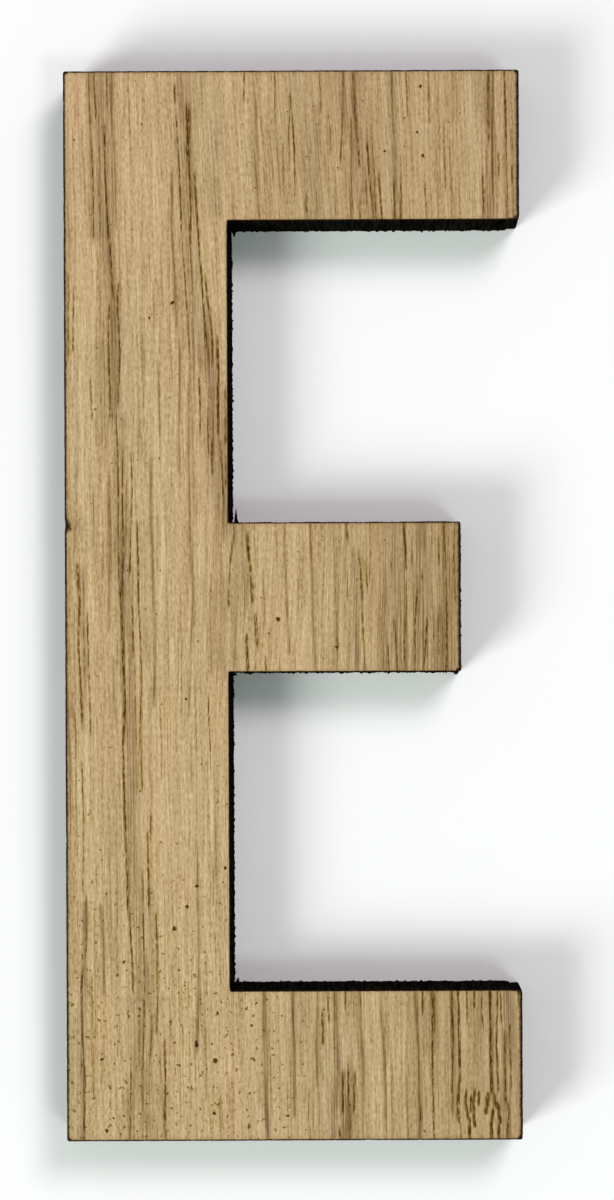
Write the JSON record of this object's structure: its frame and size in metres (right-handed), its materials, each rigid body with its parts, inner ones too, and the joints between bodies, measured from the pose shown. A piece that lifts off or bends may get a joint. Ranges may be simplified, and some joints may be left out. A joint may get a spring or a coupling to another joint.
{
  "type": "wooden letter",
  "caption": "Flat capital letter E with a stem and square arms, laser-cut from oak-veneered board with charred edges, to lay out, stand on its foot or stick on as a toy or sign letter.",
  "frame": {"origin": "centre of the letter's bounding rectangle, on the back face that lies on the table", "axes": "+X towards the ends of the arms, +Y towards the top of the letter, +Z out of the oak face"},
  "size_m": [0.0426, 0.1, 0.006],
  "materials": {
    "face_oak": "bare sanded oak with open pores, straight grain along the stem, scorched at the cut",
    "back_oak": "bare sanded oak, smoke-stained along the cut",
    "charred_fibreboard": "laser-charred cut wall, black and matt",
    "cured_glue": "cured wood glue, burnt dark at the cut"
  },
  "bodies": {
    "root": {"back_veneer": "back_oak", "back_glue_line": "cured_glue", "core_board": "charred_fibreboard", "face_glue_line": "cured_glue", "face_veneer": "face_oak"}
  },
  "joints": []
}
